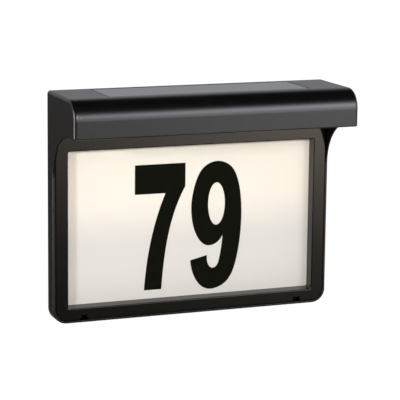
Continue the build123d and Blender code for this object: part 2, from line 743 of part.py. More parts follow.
with BuildPart() as control_board:
    with BuildSketch(Plane.XY.offset(board_under)):
        with Locations((board_centre_x, bay_y)):
            RectangleRounded(board_length, board_width, board_corner)
        with Locations(*posts):
            Circle(small_screw_radius + running_gap, mode=Mode.SUBTRACT)
    extrude(amount=board_thickness)
finish(control_board, "control_board")

with BuildPart() as board_parts:
    with BuildSketch(Plane.XY.offset(board_top)):
        with Locations((board_centre_x, parts_y)):
            with GridLocations(4 * chip_width, 1, 2, 1):
                Rectangle(chip_length, chip_width)
    extrude(amount=chip_height)
    with BuildSketch(Plane.XY.offset(board_top)):
        with Locations((board_centre_x, parts_y)):
            Circle(coil_radius)
    extrude(amount=coil_height)
    with BuildSketch(Plane.XY.offset(board_top)):
        with Locations((board_centre_x + 4 * chip_width, parts_y)):
            Circle(capacitor_radius)
    extrude(amount=capacitor_height)
finish(board_parts, "board_parts")

with BuildPart() as lead_connectors:
    with BuildSketch(Plane.XY.offset(board_top)):
        with Locations(*connectors):
            Rectangle(connector_length, connector_width)
    extrude(amount=connector_height)
finish(lead_connectors, "lead_connectors")

small_screws(posts, board_top, -1, "board_screws")

with BuildPart() as switch_body:
    with BuildSketch(Plane.XY.offset(base_top)):
        with Locations(switch_centre):
            Rectangle(switch_length, switch_width)
    extrude(amount=switch_height)
    with BuildSketch(Plane.XY.offset(base_top)):
        with Locations(switch_centre):
            Rectangle(knob_length + 2 * knob_shoulder + switch_travel + 2 * fit_gap,
                      knob_width + 2 * knob_shoulder + 2 * fit_gap)
    extrude(amount=knob_head + 2 * fit_gap, mode=Mode.SUBTRACT)
finish(switch_body, "switch_body")

with BuildPart() as switch_knob:
    with BuildSketch(Plane.XY.offset(base_bottom + knob_short)):
        with Locations((knob_rest, bay_y)):
            Rectangle(knob_length, knob_width)
    extrude(amount=base_plate - knob_short + fit_gap)
    with BuildSketch(Plane.XY.offset(base_top + fit_gap)):
        with Locations((knob_rest, bay_y)):
            Rectangle(knob_length + 2 * knob_shoulder, knob_width + 2 * knob_shoulder)
    extrude(amount=knob_head)
finish(switch_knob, "switch_knob")

with BuildPart() as switch_pins:
    with BuildSketch(Plane.XY.offset(base_top + switch_height)):
        with Locations(switch_centre):
            with GridLocations(pin_pitch, 1, 3, 1):
                Rectangle(pin_width, pin_thickness)
    extrude(amount=pin_height)
finish(switch_pins, "switch_pins")

# ------------------------------------------------------------------ solar panel in the top
cell_pitch = (solar_length - 2 * solar_border + solar_cell_gap) / solar_cell_count
cell_strip = cell_pitch - solar_cell_gap
cell_strip_depth = solar_depth - 2 * solar_border
solar_board_low = solar_floor + solar_tape
solar_board_top = solar_board_low + solar_board

with BuildPart() as solar_tape_ring:
    with BuildSketch(Plane.XY.offset(solar_floor)):
        with Locations((0, solar_mid)):
            RectangleRounded(solar_length, solar_depth, solar_corner)
            Rectangle(solar_length - 2 * solar_tape_width, solar_depth - 2 * solar_tape_width,
                      mode=Mode.SUBTRACT)
    extrude(amount=solar_tape)
finish(solar_tape_ring, "solar_tape_ring")

with BuildPart() as solar_back_board:
    with BuildSketch(Plane.XY.offset(solar_board_low)):
        with Locations((0, solar_mid)):
            RectangleRounded(solar_length, solar_depth, solar_corner)
    extrude(amount=solar_board)
finish(solar_back_board, "solar_back_board")

with BuildPart() as solar_cells:
    with BuildSketch(Plane.XY.offset(solar_board_top)):
        with Locations((0, solar_mid)):
            with GridLocations(cell_pitch, 1, solar_cell_count, 1):
                Rectangle(cell_strip, cell_strip_depth)
    extrude(amount=solar_cell_thickness)
finish(solar_cells, "solar_cells")

with BuildPart() as solar_glazing:
    with BuildSketch(Plane.XY.offset(solar_board_top)):
        with Locations((0, solar_mid)):
            RectangleRounded(solar_length, solar_depth, solar_corner)
    extrude(amount=solar_glaze)
    with BuildSketch(Plane.XY.offset(solar_board_top)):
        with Locations((0, solar_mid)):
            with GridLocations(cell_pitch, 1, solar_cell_count, 1):
                Rectangle(cell_strip, cell_strip_depth)
    extrude(amount=solar_cell_thickness, mode=Mode.SUBTRACT)
finish(solar_glazing, "solar_glazing")


# ------------------------------------------------------------------ leads
def bends(points):
    """Each corner's bend: the share of its shorter run over the tangent of half the turn."""
    runs = [Vector(*end) - Vector(*start) for start, end in zip(points, points[1:])]
    return [bend_share * min(run.length, after.length) / tan(radians(run.get_angle(after) / 2))
            for run, after in zip(runs, runs[1:])]


def lead_pair(first, second, name):
    """Two insulated leads, each along straight runs joined by tangent arcs."""
    with BuildPart() as pair:
        for points in (first, second):
            with BuildLine() as line:
                FilletPolyline(*points, radius=bends(points))
            with BuildSketch(Plane(line.edges()[0] @ 0, z_dir=line.edges()[0] % 0)):
                RegularPolygon(lead_radius, lead_sides)
            sweep(path=line.wires()[0])
    finish(pair, name)


plug_top = board_top + connector_height
over = plug_top + lead_rise
lead_y = bay_y + lead_side
bypass_x = bay_left - lead_step
bypass_y = (trough_front + bay_back) / 2


def route(points, index, side):
    """A lead's corner points, ending in one of the two ways of a plug socket."""
    x, y = connectors[index]
    plug_x = x + side * lead_pitch / 2
    return [*points, (plug_x, y, points[-1][2]), (plug_x, y, plug_top)]


solar_ends = [[(lead_slot_x + s * lead_pitch / 2, solar_mid, z) for z in (solar_board_low, over)]
              for s in (-1, 1)]
lead_pair(route(solar_ends[0], 1, -1), route(solar_ends[1], 1, 1), "solar_leads")

lamp_lead_x = ear_x - lamp_lead_end
lamp_ends = [[(lamp_lead_x + s * lead_pitch / 2, lamp_y, z)
              for z in (trough_top + lamp_board_thickness, over)] for s in (-1, 1)]
lead_pair(route(lamp_ends[0], 3, -1), route(lamp_ends[1], 3, 1), "lamp_leads")

switch_ends = [[(switch_x + s * pin_pitch, bay_y, z)
                for z in (base_top + switch_height + pin_height, over + s * lead_pitch)] for s in (0, 1)]
lead_pair(route(switch_ends[0], 2, 1), route(switch_ends[1], 2, -1), "switch_leads")

near_end = [(bay_right, lead_y, lead_level), (bay_right + lead_step, lead_y, lead_level)]
far_end = [(bay_left, lead_y, lead_level), (bypass_x, lead_y, lead_level), (bypass_x, bypass_y, lead_level),
           (connectors[0][0] + lead_pitch / 2, bypass_y, lead_level)]
lead_pair(route(near_end, 0, -1), route(far_end, 0, 1), "battery_leads")
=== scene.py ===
# %% [markdown]
# # A solar house number sign, dressed and lit
# The sign hangs on a wall and lights its own number after dark. Its black moulded housing carries
# a deep hood, and a glossy frame lies flush in it round a pale panel with two figures. The packed
# CAD model gives every solid. This script gives each solid its finish, adds the fine detail that
# the solids leave out, and lights the whole as a small studio would.
#
# Everything is in metres, in the CAD's own frame: X runs to the right for someone who faces the
# sign, Y runs away from them into the wall, and Z runs up. The sign's back touches the wall at
# Y = 0.

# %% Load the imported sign
import json
import math

import bpy
import numpy as np
from mathutils import Matrix, Vector


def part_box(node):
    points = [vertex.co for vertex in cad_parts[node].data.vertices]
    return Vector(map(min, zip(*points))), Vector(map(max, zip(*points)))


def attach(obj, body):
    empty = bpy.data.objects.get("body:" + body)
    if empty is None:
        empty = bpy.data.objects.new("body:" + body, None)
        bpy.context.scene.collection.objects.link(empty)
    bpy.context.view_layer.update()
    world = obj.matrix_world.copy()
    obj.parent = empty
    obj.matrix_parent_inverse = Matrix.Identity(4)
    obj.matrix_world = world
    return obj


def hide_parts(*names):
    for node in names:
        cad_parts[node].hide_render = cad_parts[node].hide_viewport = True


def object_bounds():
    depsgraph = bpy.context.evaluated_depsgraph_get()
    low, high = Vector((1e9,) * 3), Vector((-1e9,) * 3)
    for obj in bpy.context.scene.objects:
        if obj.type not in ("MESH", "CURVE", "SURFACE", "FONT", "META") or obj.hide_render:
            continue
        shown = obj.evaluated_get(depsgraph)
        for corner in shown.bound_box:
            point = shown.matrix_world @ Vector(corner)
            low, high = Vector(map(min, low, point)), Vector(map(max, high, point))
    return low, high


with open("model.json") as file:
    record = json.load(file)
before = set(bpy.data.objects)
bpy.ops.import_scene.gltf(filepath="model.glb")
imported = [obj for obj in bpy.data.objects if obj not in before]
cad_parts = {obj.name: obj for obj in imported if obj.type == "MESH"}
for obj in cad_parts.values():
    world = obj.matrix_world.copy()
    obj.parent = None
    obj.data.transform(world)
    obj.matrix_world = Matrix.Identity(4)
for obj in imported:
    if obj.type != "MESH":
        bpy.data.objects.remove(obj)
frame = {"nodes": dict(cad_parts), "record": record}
cad_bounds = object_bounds()
nodes = frame["nodes"]

# %% [markdown]
# ## Helpers for finishes
# A finish is a material: one Principled shader, with a few nodes in front of it where its colour
# or its surface changes from place to place. Each one could be wired by hand in the shader editor.
# Short functions do it here, so that a finish reads as a few lines of numbers. A number that is the
# same all over goes straight on the shader's own socket, which every exporter understands.

# %% Nodes and their sockets


def set_sockets(node, **values):
    """Sets a node's input sockets by name, with an underscore for each space."""
    for socket, value in values.items():
        node.inputs[socket.replace("_", " ")].default_value = value


def add_node(owner, kind, settings=None, **values):
    """A new node of a material or the world: attributes come from settings, sockets from values."""
    node = owner.node_tree.nodes.new(kind)
    for attribute, value in (settings or {}).items():
        setattr(node, attribute, value)
    set_sockets(node, **values)
    return node


def feed(owner, source, socket):
    """Joins an output to an input socket, or puts a plain number on it."""
    if isinstance(source, (int, float)):
        socket.default_value = source
    else:
        owner.node_tree.links.new(source, socket)


print("helpers for nodes:", set_sockets.__name__, add_node.__name__, feed.__name__)

# %% A finish and the solids that wear it


def shader_of(material):
    """The material's Principled shader."""
    return material.node_tree.nodes["Principled BSDF"]


def make_finish(name, colour, roughness, **sockets):
    """A material whose shader has the given colour, roughness and other socket values."""
    material = bpy.data.materials.new(name)
    material.use_nodes = True
    set_sockets(shader_of(material), Base_Color=(*colour, 1), Roughness=roughness, **sockets)
    material.diffuse_color = (*colour, 1)
    return material


def dress(material, *names):
    """Gives a finish to CAD nodes."""
    for name in names:
        nodes[name].data.materials.clear()
        nodes[name].data.materials.append(material)
    print(material.name, "on", ", ".join(names))


print("helpers for finishes:", make_finish.__name__, dress.__name__)

# %% [markdown]
# ## Helpers for colour drift and grain
# No moulded or printed surface is one flat colour. Pigment and dust make its tone drift a little,
# and the mould or the roller leaves a fine relief. Photographs of plastic could be laid on it, but
# they repeat and blur. Noise worked out at Object coordinates does neither: these are metres in the
# sign's own frame, so a grain of half a millimetre is half a millimetre on every piece.

# %% Noise, ramps and bumps
drift_span = (0.35, 0.65)  # noise values at which the low and the high tone are reached


def object_place(material):
    """The output socket of the piece's Object coordinates."""
    return add_node(material, "ShaderNodeTexCoord").outputs["Object"]


def object_noise(material, scale, detail=2.0):
    """Noise over Object coordinates, with scale in ripples per metre."""
    noise = add_node(material, "ShaderNodeTexNoise", Scale=scale, Detail=detail)
    feed(material, object_place(material), noise.inputs["Vector"])
    return noise.outputs["Fac"]


def colour_ramp(owner, source, stops, easing="LINEAR"):
    """Colours by a value: stops are (position, colour) pairs in rising order."""
    ramp = add_node(owner, "ShaderNodeValToRGB")
    ramp.color_ramp.interpolation = easing
    ends = ramp.color_ramp.elements
    for end, (position, colour) in zip((ends[0], ends[1]), (stops[0], stops[-1])):
        end.position = position
        end.color = (*colour, 1)
    for position, colour in stops[1:-1]:
        ends.new(position).color = (*colour, 1)
    feed(owner, source, ramp.inputs["Fac"])
    return ramp.outputs["Color"]


def vary_colour(material, low, high, scale):
    """The base colour drifts between two close tones."""
    tone = colour_ramp(material, object_noise(material, scale), list(zip(drift_span, (low, high))))
    feed(material, tone, shader_of(material).inputs["Base Color"])


def add_grain(material, scale, depth, edge=0.0):
    """A fine bump of the given depth in metres; edge is the radius that rounds sharp edges."""
    bump = add_node(material, "ShaderNodeBump", Strength=0.6, Distance=depth)
    feed(material, object_noise(material, scale, 3.0), bump.inputs["Height"])
    if edge:
        soft = add_node(material, "ShaderNodeBevel", {"samples": 4}, Radius=edge)
        feed(material, soft.outputs["Normal"], bump.inputs["Normal"])
    feed(material, bump.outputs["Normal"], shader_of(material).inputs["Normal"])


print("a grain of 2600 ripples per metre is", round(1000 / 2600, 2), "mm")

# %% [markdown]
# ## Grained black plastic: housing, hood base and battery door
# The housing is moulded in deep black plastic, and the mould's spark-eroded wall leaves a fine
# grain on it. The grain could be modelled, but its dents are hundredths of a millimetre deep, so a
# bump does better. It spreads a lamp's reflection into the soft band on the hood's curve. A
# moulding has no sharp edges, so the bump also rounds them by 0.3 mm.

# %% Grained black plastic
# The cool specular tint is a painted cool cast in the housing's reflections, in place of cool light
grained_black = make_finish("grained_black", (0.0028, 0.0028, 0.0029), 0.26, IOR=1.58,
                            Specular_Tint=(0.95, 0.96, 1.0, 1.0))
vary_colour(grained_black, (0.0023, 0.0023, 0.0024), (0.0033, 0.0033, 0.0035), 90.0)
add_grain(grained_black, 2600.0, 0.00003, 0.0003)
dress(grained_black, "housing", "hood_base", "battery_door")

# %% [markdown]
# ## Polished black plastic: the frame
# The frame comes from a polished mould. It mirrors the panel on its ledge and the cheek on its
# upper corner. A perfect mirror would look like glass, so it keeps a low roughness and a very
# shallow, wide ripple, as thin polished mouldings have. A warm specular tint paints its reflections
# a little warm, in place of the warm light that they mirror.

# %% Polished black plastic
# The warm specular tint is a painted warm cast in the frame's reflections
polished_black = make_finish("polished_black", (0.003, 0.0028, 0.0026), 0.14,
                             Specular_Tint=(1.0, 0.94, 0.87, 1.0))
vary_colour(polished_black, (0.0025, 0.0023, 0.0021), (0.0035, 0.0032, 0.0029), 60.0)
add_grain(polished_black, 1500.0, 0.000004, 0.0002)
dress(polished_black, "front_frame")

# %% [markdown]
# ## Opal sheet: the number panel
# The panel is an opal sheet under the hood's warm lamps, so it is cream at the top and turns paler
# and cooler towards its foot. Lamps alone could make that change, but then it would be lost under
# any other light. So that lamplight is painted into the sheet: a ramp over the panel's height makes
# its colour brighter and warmer at the top and darker towards its foot. Opal also scatters light
# just below its skin, which softens the shadows at its rim: a shallow subsurface does that.

# %% Opal sheet
# Painted lamplight: the panel's colour from foot to top, darker below, brighter and warmer above
painted_lamplight_stops = [(0.0, (0.728, 0.690, 0.644)), (0.35, (0.75, 0.715, 0.67)),
              (0.68, (0.94, 0.862, 0.757)), (1.0, (0.95, 0.88, 0.765))]  # from foot to top
opal = make_finish("opal_sheet", (0.84, 0.79, 0.71), 0.42, Subsurface_Weight=0.12,
                   Subsurface_Radius=(0.0012, 0.001, 0.0008), Subsurface_Scale=1.0)


def object_axes(material):
    """The X, Y and Z outputs of the piece's Object coordinates."""
    parts = add_node(material, "ShaderNodeSeparateXYZ")
    feed(material, object_place(material), parts.inputs[0])
    return parts.outputs


panel_low, panel_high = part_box("number_panel")
# The painted lamplight follows the panel's height
painted_lamplight_height = add_node(opal, "ShaderNodeMapRange", From_Min=panel_low.z, From_Max=panel_high.z)
feed(opal, object_axes(opal)["Z"], painted_lamplight_height.inputs["Value"])
painted_lamplight_tone = colour_ramp(opal, painted_lamplight_height.outputs["Result"], painted_lamplight_stops, "EASE")
feed(opal, painted_lamplight_tone, shader_of(opal).inputs["Base Color"])
dress(opal, "number_panel")
print("panel height", round(1000 * (panel_high.z - panel_low.z), 1), "mm")

# %% [markdown]
# ## Film: the two figures
# The figures are cut from self-adhesive black film. They could be painted on the panel as a
# texture, but on the real sign they stand up by the film's thickness and can be peeled off, so
# they are solids of their own. Matt film hardly shines, so its specular level is low.

# %% Figure film
film = make_finish("figure_film", (0.004, 0.004, 0.002), 0.35, Specular_IOR_Level=0.04)
vary_colour(film, (0.0036, 0.0037, 0.0014), (0.0046, 0.0047, 0.0022), 150.0)
add_grain(film, 900.0, 0.000006)
dress(film, "digit_seven", "digit_nine")

# %% [markdown]
# ## Solar cells
# Dark silicon strips lie under a clear cover. Thin silver fingers cross each strip, and wider bars
# join them. Each finger could be its own little solid, but there are hundreds of them, thinner than
# paint. So a stripe pattern over Object coordinates draws them: within each pitch, the places near
# the turning point of a triangle wave are silver.

# %% Stripes by a triangle wave


def combine(owner, operation, first, second):
    """A Math node on two inputs, each a socket or a number."""
    node = add_node(owner, "ShaderNodeMath", {"operation": operation})
    feed(owner, first, node.inputs[0])
    feed(owner, second, node.inputs[1])
    return node.outputs[0]


def stripes(material, coordinate, pitch, share):
    """1 on the given share of each pitch along a coordinate, else 0: wave < pitch x share / 2."""
    wave = combine(material, "PINGPONG", coordinate, pitch / 2)
    return combine(material, "LESS_THAN", wave, pitch * share / 2)


print("helpers for patterns:", combine.__name__, stripes.__name__)

# %% Silicon with silver fingers
silicon_blue, silver = (0.02, 0.024, 0.045), (0.45, 0.46, 0.48)
finger_pitch, finger_share = 0.0022, 0.06
bar_pitch, bar_share = 0.0181, 0.05

silicon = make_finish("cell_silicon", silicon_blue, 0.25)
cell_axes = object_axes(silicon)
fingers = stripes(silicon, cell_axes["Y"], finger_pitch, finger_share)
bars = stripes(silicon, cell_axes["X"], bar_pitch, bar_share)
cell_tones = add_node(silicon, "ShaderNodeMix", {"data_type": "RGBA"},
                      A=(*silicon_blue, 1), B=(*silver, 1))
feed(silicon, combine(silicon, "MAXIMUM", fingers, bars), cell_tones.inputs["Factor"])
feed(silicon, cell_tones.outputs["Result"], shader_of(silicon).inputs["Base Color"])
dress(silicon, "solar_cells")
print("fingers", round(1000 * finger_pitch * finger_share, 2), "mm wide,",
      "bars", round(1000 * bar_pitch * bar_share, 2), "mm wide")

# %% [markdown]
# ## Clear cover of the solar panel
# The cover is a clear moulded sheet. From above, the cells show through it. From the side it only
# shines, and the cells are lost in its sheen. A glass shader would do both with traced rays, but
# such rays lose most of their light on the way through a thin closed sheet and back, and the cells
# turn black. So the cover is a thin dark sheen whose opacity grows with the slant of the view.
# Layer Weight gives that slant: the opacity is 8% seen straight on, and full at a low angle.

# %% Clear cover
veil_from, veil_to = (0.35, 0.85), (0.08, 1.0)  # slant, and the opacity at each end


def smooth_step(owner, source, from_span, to_span):
    """Runs smoothly from one end of to_span to the other while the source crosses from_span."""
    step = add_node(owner, "ShaderNodeMapRange", {"interpolation_type": "SMOOTHSTEP"},
                    From_Min=from_span[0], From_Max=from_span[1],
                    To_Min=to_span[0], To_Max=to_span[1])
    feed(owner, source, step.inputs["Value"])
    return step.outputs["Result"]


# The bluish specular tint is a painted cool cast in the cover's reflections
cover_clear = make_finish("cover_clear", (0.012, 0.014, 0.02), 0.14, IOR=1.49, Coat_Weight=0.3,
                          Specular_Tint=(0.86, 0.93, 1.0, 1.0))
cover_slant = add_node(cover_clear, "ShaderNodeLayerWeight", Blend=0.5).outputs["Facing"]
cover_veil = smooth_step(cover_clear, cover_slant, veil_from, veil_to)
feed(cover_clear, cover_veil, shader_of(cover_clear).inputs["Alpha"])
add_grain(cover_clear, 700.0, 0.000004)
dress(cover_clear, "solar_glazing")

# %% [markdown]
# ## Clear lens under the hood
# The lens is a thick clear strip that closes the lamps in against rain. The cover's cheap opacity
# would leave it flat. It is looked through from below, straight on and at short range, with white
# plastic behind it, so here a true transmitting shader keeps its light and is right. A fine bump
# frosts it lightly, as diffusers are frosted.

# %% Clear lens
lens_clear = make_finish("lens_clear", (0.98, 0.97, 0.95), 0.25, Transmission_Weight=1.0, IOR=1.49)
add_grain(lens_clear, 900.0, 0.00002)
dress(lens_clear, "lamp_lens")

# %% [markdown]
# ## Pieces inside the hood
# White mouldings, green boards, steel screws and soft seals are out of sight while the hood is
# closed. One grey finish could serve them all, yet each has its own, because the sign can be taken
# apart: its frame and its battery door come off. Most need only a drifting colour and a grain, so a
# table gives those, and one loop makes them.
# A row holds the colour, its roughness, the low and high tone, the ripples per metre of the drift,
# the grain's ripples per metre and depth (or nothing), other sockets, and the nodes that wear it.

# %% Mouldings, boards and seals
inner_finishes = {
    "white_moulded": ((0.8, 0.8, 0.78), 0.35, (0.78, 0.78, 0.76), (0.82, 0.82, 0.8), 120.0,
                      (1800.0, 0.00001), {},
                      ("lamp_trough", "lamps", "lead_connectors", "switch_knob")),
    "green_board": ((0.02, 0.11, 0.045), 0.3, (0.015, 0.09, 0.035), (0.03, 0.14, 0.06), 300.0,
                    (1400.0, 0.000015), {"Coat_Weight": 0.4},
                    ("lamp_board", "control_board", "solar_back_board")),
    "plated_steel": ((0.6, 0.6, 0.61), 0.3, (0.55, 0.55, 0.56), (0.66, 0.66, 0.67), 900.0,
                     (3000.0, 0.00001), {"Metallic": 1.0},
                     ("base_screws", "door_screws", "lamp_screws", "board_screws")),
    "nickel_strip": ((0.72, 0.69, 0.63), 0.25, (0.68, 0.65, 0.59), (0.76, 0.73, 0.67), 700.0,
                     None, {"Metallic": 1.0}, ("battery_contacts", "switch_pins")),
    "soft_seal": ((0.03, 0.03, 0.03), 0.75, (0.025, 0.025, 0.025), (0.04, 0.04, 0.04), 900.0,
                  (2200.0, 0.00005), {}, ("base_seal", "battery_seal", "solar_tape_ring")),
    "blue_wrap": ((0.03, 0.09, 0.28), 0.3, (0.028, 0.085, 0.26), (0.035, 0.1, 0.3), 80.0,
                  (500.0, 0.00001), {"Coat_Weight": 0.3}, ("battery_cell",)),
    "chip_black": ((0.02, 0.02, 0.022), 0.5, (0.016, 0.016, 0.018), (0.026, 0.026, 0.028), 600.0,
                   (2600.0, 0.00002), {}, ("board_parts", "switch_body")),
    "red_lead": ((0.3, 0.02, 0.015), 0.45, (0.27, 0.018, 0.013), (0.33, 0.024, 0.018), 200.0,
                 None, {}, ("solar_leads", "lamp_leads", "battery_leads", "switch_leads")),
}
for name, row in inner_finishes.items():
    colour, roughness, low, high, drift, grain, sockets, wearers = row
    finish = make_finish(name, colour, roughness, **sockets)
    vary_colour(finish, low, high, drift)
    if grain:
        add_grain(finish, *grain)
    dress(finish, *wearers)

# %% [markdown]
# ## Lamp faces
# Each lamp shines through a small window of warm yellow resin. A light could stand in each one, but
# six tiny lights are slow and noisy to render. The windows only have to look lit, so they glow by
# their own emission, and one soft strip light further down does the lighting.

# %% Warm glow
warm_glow = make_finish("warm_glow", (1.0, 0.9, 0.72), 0.4,
                        Emission_Color=(1.0, 0.8, 0.52, 1), Emission_Strength=6.0)
vary_colour(warm_glow, (1.0, 0.88, 0.69), (1.0, 0.92, 0.75), 900.0)
add_grain(warm_glow, 2000.0, 0.00001)
dress(warm_glow, "lamp_windows")

# %% [markdown]
# ## Screws with cross recesses
# The sign's screws are small pan heads with a cross recess and a coarse thread for plastic. A
# modelled cylinder with a cross cut out would need a boolean for each head, and a modelled thread
# another. A screw is round, though, so one grid of rings draws it whole: a profile gives each
# ring's radius and depth, the recess pushes the head's face in where a ring point lies in one of
# two crossed bars, and the thread lets the radius fall between turns.

# %% Helper that turns arrays into a mesh
body_of = {name: body for body, names in frame["record"]["behaviour"]["bodies"].items()
           for name in names}


def surface_piece(name, points, faces, material, body):
    """An object at the origin from an array of points and a list of faces; it rides on a body."""
    mesh = bpy.data.meshes.new(name)
    mesh.from_pydata(points.tolist(), [], faces)
    mesh.polygons.foreach_set("use_smooth", np.ones(len(mesh.polygons), bool))
    mesh.materials.append(material)
    mesh.update()
    piece = bpy.data.objects.new(name, mesh)
    bpy.context.scene.collection.objects.link(piece)
    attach(piece, body)
    print(name, "points", len(points), "faces", len(faces))
    return piece


# %% Profile of a screw


def screw_profile(head_radius, head_height, shank_radius, length):
    """Radius and depth of each ring from the head's face to the tip, and how many are on the face.

    The face falls away as 0.22 x head height x (r / head radius)^2. The rim turns over it in a
    quarter ellipse, the seat goes straight in to the shank, and the shank's last sixth tapers as
    (distance to the tip / a sixth of the length)^0.6.
    """
    face_r = np.linspace(0.04, 0.86, 24) * head_radius
    face_z = 0.22 * head_height * (face_r / head_radius) ** 2
    bend = np.linspace(0, np.pi / 2, 6)[1:]
    rim_r = face_r[-1] + 0.14 * head_radius * np.sin(bend)
    rim_z = face_z[-1] + 0.4 * head_height * (1 - np.cos(bend))
    seat_r = np.array([head_radius, 0.5 * (head_radius + shank_radius), shank_radius])
    seat_z = np.full(3, head_height)
    shank_z = head_height + np.linspace(0.02, 1.0, 56) * length
    taper = np.clip((head_height + length - shank_z) / (0.16 * length), 0.12, 1) ** 0.6
    radius = np.concatenate([face_r, rim_r, seat_r, shank_radius * taper])
    depth = np.concatenate([face_z, rim_z, seat_z, shank_z])
    return radius, depth, len(face_r)


hood_screw = (0.0028, 0.0012, 0.00145, 0.0098)  # head radius and height, shank radius and length
small_screw = (0.0020, 0.0010, 0.0010, 0.0060)
print("rings of a screw", len(screw_profile(*hood_screw)[0]))

# %% Recess and thread


def cross_recess(x, y, head_radius):
    """1 inside two crossed bars and 0 outside, falling evenly over the width of a sloping wall."""
    bar, reach, wall = 0.13 * head_radius, 0.62 * head_radius, 0.06 * head_radius

    def arm(u, v):
        """The bar that lies along u: its wall falls off across v, and at both ends of u."""
        return np.clip((bar + wall - abs(v)) / wall, 0, 1) * np.clip((reach - abs(u)) / wall, 0, 1)

    return np.maximum(arm(x, y), arm(y, x))


def thread_groove(z, turn, pitch):
    """The share that the radius loses: 0.20 x a triangle wave of z / pitch - angle / full turn."""
    return 0.20 * abs(2 * np.mod(z / pitch - turn / (2 * np.pi), 1) - 1)


print("recess at the middle of a head", cross_recess(0.0, 0.0, hood_screw[0]))

# %% Rings joined to a closed skin


def ring_faces(rings, turns):
    """Quads between neighbouring rings, and a fan of triangles round a pole at each end.

    Points are numbered ring by ring, and the two poles come after them, the first ring's first.
    """
    ring = np.arange(rings - 1)[:, None] * turns
    j = np.arange(turns)[None, :]
    k = (j + 1) % turns
    quads = np.stack([ring + j, ring + k, ring + turns + k, ring + turns + j], axis=-1)
    first, last = rings * turns, rings * turns + 1
    start = (rings - 1) * turns
    near_fan = np.stack([np.full(turns, first), k[0], j[0]], axis=-1)
    far_fan = np.stack([np.full(turns, last), start + j[0], start + k[0]], axis=-1)
    return quads.reshape(-1, 4), np.vstack([near_fan, far_fan])


def screw_grid(head_radius, head_height, shank_radius, length, turns=72):
    """Points and faces of a screw whose head face lies at depth 0 and whose tip points along +Z.

    x = r cos(turn) and y = r sin(turn), with r from the profile, less the thread's share on the
    shank. z = depth from the profile, plus the recess on the head's face.
    """
    radius, depth, face_rings = screw_profile(head_radius, head_height, shank_radius, length)
    r, turn = np.meshgrid(radius, np.arange(turns) * 2 * np.pi / turns, indexing="ij")
    z = np.repeat(depth[:, None], turns, axis=1)
    x, y = r * np.cos(turn), r * np.sin(turn)
    recess_depth = 0.7 * head_height
    on_face = (np.arange(len(radius)) < face_rings)[:, None]
    z = z + on_face * recess_depth * cross_recess(x, y, head_radius)
    on_shank = (depth > head_height + 1e-9)[:, None]
    groove = thread_groove(z, turn, 0.62 * shank_radius) * on_shank
    x, y = x * (1 - groove), y * (1 - groove)
    points = np.stack([x, y, z], axis=-1).reshape(-1, 3)
    poles = [(0, 0, recess_depth), (0, 0, head_height + length)]
    return np.vstack([points, poles]), *ring_faces(len(radius), turns)


print("points of a screw", len(screw_grid(*hood_screw)[0]))

# %% [markdown]
# ## Sets of screws in their places
# Six screws hold the hood base, two the battery door, two the lamp board and four the control
# board. Each could be an object of its own, but the CAD keeps equal screws in one node, and so does
# this: one array of points makes a whole set, which replaces that node and rides on its body. The
# screws of the base and the door point up from below. The others point down, by a half turn
# about X.

# %% One set of screws
steel = bpy.data.materials["plated_steel"]


def screw_set(name, node, places, face_level, way, sizes):
    """All screws of a set: the shank runs up for way 1 and down for way -1, from face_level."""
    points, quads, fans = screw_grid(*sizes)
    turned = points * np.array([1, way, way])
    placed = np.concatenate([turned + np.array([x, y, face_level]) for x, y in places])
    faces = []
    for index in range(len(places)):
        faces += (quads + index * len(points)).tolist()
        faces += (fans + index * len(points)).tolist()
    piece = surface_piece(name, placed, faces, steel, body_of[node])
    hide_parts(node)


screw_side, screw_foot = 0.118, 0.007  # corner screws' distance from the middle; heads' level
base_places = [(-screw_side, -0.012), (0, -0.012), (screw_side, -0.012),
               (-screw_side, -0.059), (0.00318, -0.061), (screw_side, -0.059)]
screw_set("hood_screws_cross", "base_screws", base_places, screw_foot, 1, hood_screw)

# %% The three sets of small screws
door_places = [(-0.09896, -0.056), (-0.01586, -0.056)]
screw_set("door_screws_cross", "door_screws", door_places, screw_foot, 1, small_screw)
lamp_places = [(-0.1015, -0.030025), (0.1015, -0.030025)]
screw_set("lamp_screws_cross", "lamp_screws", lamp_places, 0.0206, -1, small_screw)
board_places = [(x, y) for x in (0.02212, 0.07312) for y in (-0.0625, -0.0495)]
screw_set("board_screws_cross", "board_screws", board_places, 0.0174, -1, small_screw)

# %% Measure two sets against their nodes


def in_millimetres(corner):
    """A corner in millimetres, to hundredths."""
    return (np.array(corner) * 1000).round(2)


def points_of(name):
    """The points of a piece's mesh as rows of x, y and z."""
    vertices = bpy.data.objects[name].data.vertices
    flat = np.empty(3 * len(vertices))
    vertices.foreach_get("co", flat)
    return flat.reshape(-1, 3)


for name, node in (("hood_screws_cross", "base_screws"), ("lamp_screws_cross", "lamp_screws")):
    spots = points_of(name)
    low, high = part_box(node)
    print(name, in_millimetres(spots.min(0)), in_millimetres(spots.max(0)),
          "node", in_millimetres(low), in_millimetres(high))

# %% [markdown]
# ## Sealant round the solar panel
# A thin line of black sealant closes the joint between the clear cover and the housing, and keeps
# rain out of the hood. A curve with a round bevel could draw it, but the real bead is pressed flat.
# So it is worked out as a tube on a grid: its path is a rounded rectangle on the cover's rim, and
# its section is a low ellipse carried along that path by the path's own normals.

# %% Sealant
sealant = make_finish("black_sealant", (0.006, 0.006, 0.006), 0.85, Specular_IOR_Level=0.12)
vary_colour(sealant, (0.005, 0.005, 0.005), (0.008, 0.008, 0.008), 700.0)
add_grain(sealant, 1500.0, 0.00002)
print("made", sealant.name)

# %% Path and section of the bead


